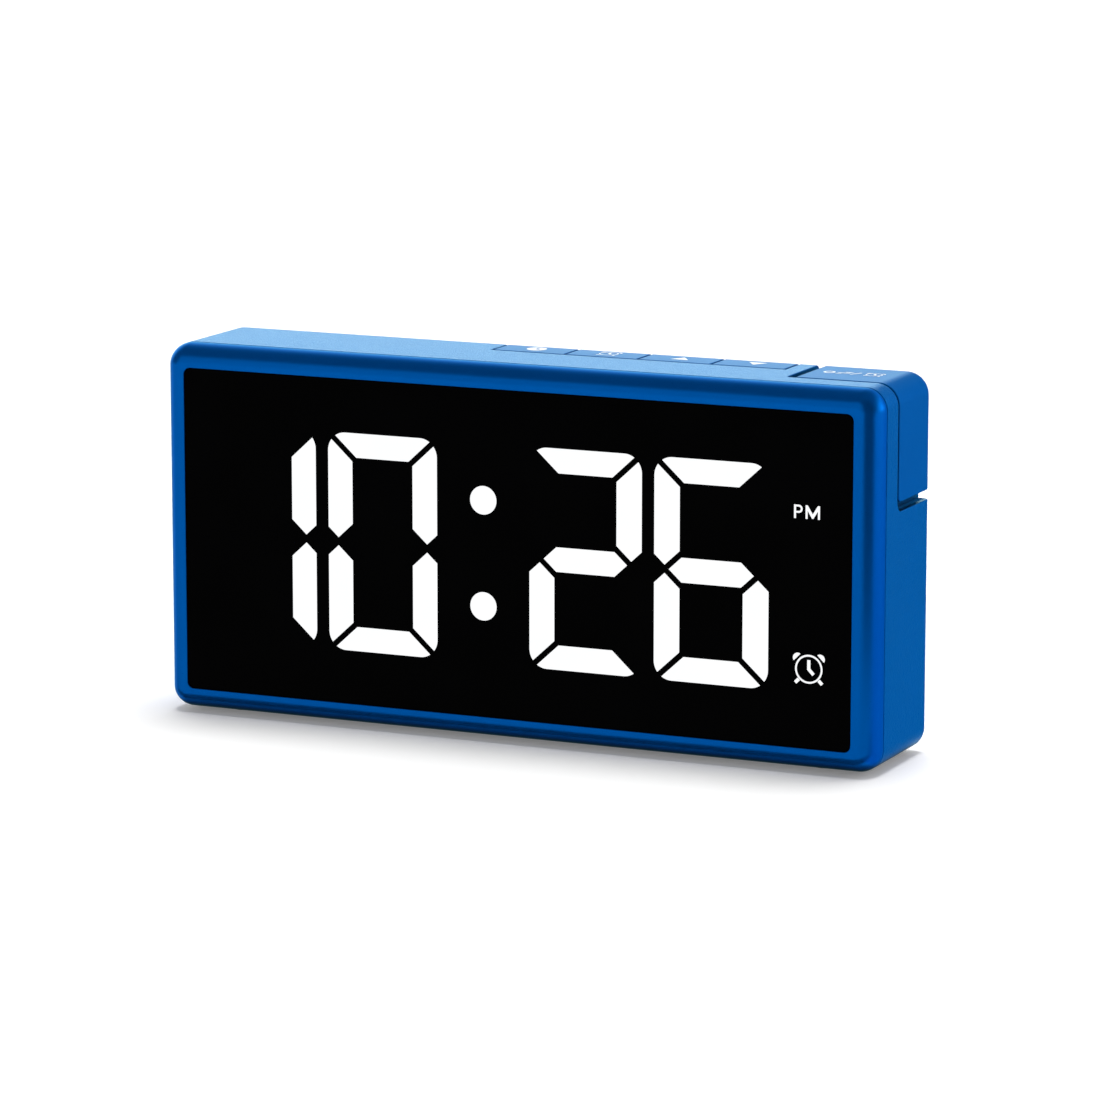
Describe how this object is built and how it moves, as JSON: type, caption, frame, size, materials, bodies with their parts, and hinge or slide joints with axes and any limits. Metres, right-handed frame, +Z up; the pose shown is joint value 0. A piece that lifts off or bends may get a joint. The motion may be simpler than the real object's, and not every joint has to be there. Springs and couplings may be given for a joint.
{
  "type": "alarm clock",
  "caption": "Slim desktop alarm clock with large lit digits behind a flush dark window, flush top keys and a sprung corner snooze cap.",
  "frame": {"origin": "under the middle of the clock, on the surface that its feet stand on", "axes": "+Z up, the display faces -Y, +X to the right of someone looking at the display"},
  "size_m": [0.155, 0.029, 0.076],
  "materials": {
    "case_blue": "satin moulded blue plastic with a fine grain",
    "lens_black": "polished deep black window",
    "adhesive": "thin black foam tape",
    "diffuser_film": "frosted film",
    "reflector_white": "white moulded plastic",
    "light_guide": "lit white",
    "circuit_board": "green solder mask",
    "steel": "plated steel",
    "rubber": "dark soft rubber",
    "black_plastic": "black moulded plastic",
    "cell_sleeve": "plain silver sleeve",
    "ribbon": "grey ribbon cable"
  },
  "bodies": {
    "case": {"front_bezel": "case_blue", "rear_housing": "case_blue", "display_lens": "lens_black", "lens_gasket": "adhesive", "diffuser_film": "diffuser_film", "reflector_frame": "reflector_white", "hour_tens_light_guide": "light_guide", "hour_light_guide": "light_guide", "minute_tens_light_guide": "light_guide", "minute_light_guide": "light_guide", "colon_light_guide": "light_guide", "status_light_guide": "light_guide", "display_pcb": "circuit_board", "key_pcb": "circuit_board", "main_pcb": "circuit_board", "display_screw_1": "steel", "display_screw_2": "steel", "display_screw_3": "steel", "display_screw_4": "steel", "case_screw_1": "steel", "case_screw_2": "steel", "case_screw_3": "steel", "case_screw_4": "steel", "snooze_spring_1": "steel", "snooze_spring_2": "steel", "contact_spring_lower": "steel", "contact_spring_upper": "steel", "contact_plate_1": "steel", "contact_plate_2": "steel", "power_inlet": "steel", "foot_1": "rubber", "foot_2": "rubber", "foot_3": "rubber", "foot_4": "rubber", "clock_key_switch": "black_plastic", "alarm_key_switch": "black_plastic", "up_key_switch": "black_plastic", "down_key_switch": "black_plastic", "snooze_switch": "black_plastic", "clock_ic": "black_plastic", "speaker": "black_plastic", "speaker_lead": "black_plastic", "backup_cell_1": "cell_sleeve", "backup_cell_2": "cell_sleeve", "display_ribbon": "ribbon", "key_ribbon": "ribbon"},
    "clock_key_body": {"clock_key": "case_blue", "clock_key_plunger": "black_plastic"},
    "alarm_key_body": {"alarm_key": "case_blue", "alarm_key_plunger": "black_plastic"},
    "up_key_body": {"up_key": "case_blue", "up_key_plunger": "black_plastic"},
    "down_key_body": {"down_key": "case_blue", "down_key_plunger": "black_plastic"},
    "snooze_body": {"snooze_cap": "case_blue", "snooze_plunger": "black_plastic", "snooze_screw_1": "steel", "snooze_screw_2": "steel"},
    "door_body": {"battery_door": "case_blue"}
  },
  "joints": [
    {"name": "clock_key_press", "type": "slide", "parent": "case", "child": "clock_key_body", "axis": [0, 0, -1], "range_m": [0, 0.00045], "stiffness_N_per_m": 900},
    {"name": "alarm_key_press", "type": "slide", "parent": "case", "child": "alarm_key_body", "axis": [0, 0, -1], "range_m": [0, 0.00045], "stiffness_N_per_m": 900},
    {"name": "up_key_press", "type": "slide", "parent": "case", "child": "up_key_body", "axis": [0, 0, -1], "range_m": [0, 0.00045], "stiffness_N_per_m": 900},
    {"name": "down_key_press", "type": "slide", "parent": "case", "child": "down_key_body", "axis": [0, 0, -1], "range_m": [0, 0.00045], "stiffness_N_per_m": 900},
    {"name": "snooze_press", "type": "slide", "parent": "case", "child": "snooze_body", "axis": [0, 0, -1], "range_m": [0, 0.0009], "stiffness_N_per_m": 600, "deforming": ["snooze_spring_1", "snooze_spring_2"]},
    {"name": "battery_door_tilt", "type": "hinge", "parent": "case", "child": "door_body", "pos_m": [0, 0.0133, 0.0089], "axis": [-1, 0, 0], "range_deg": [0, 90]}
  ]
}
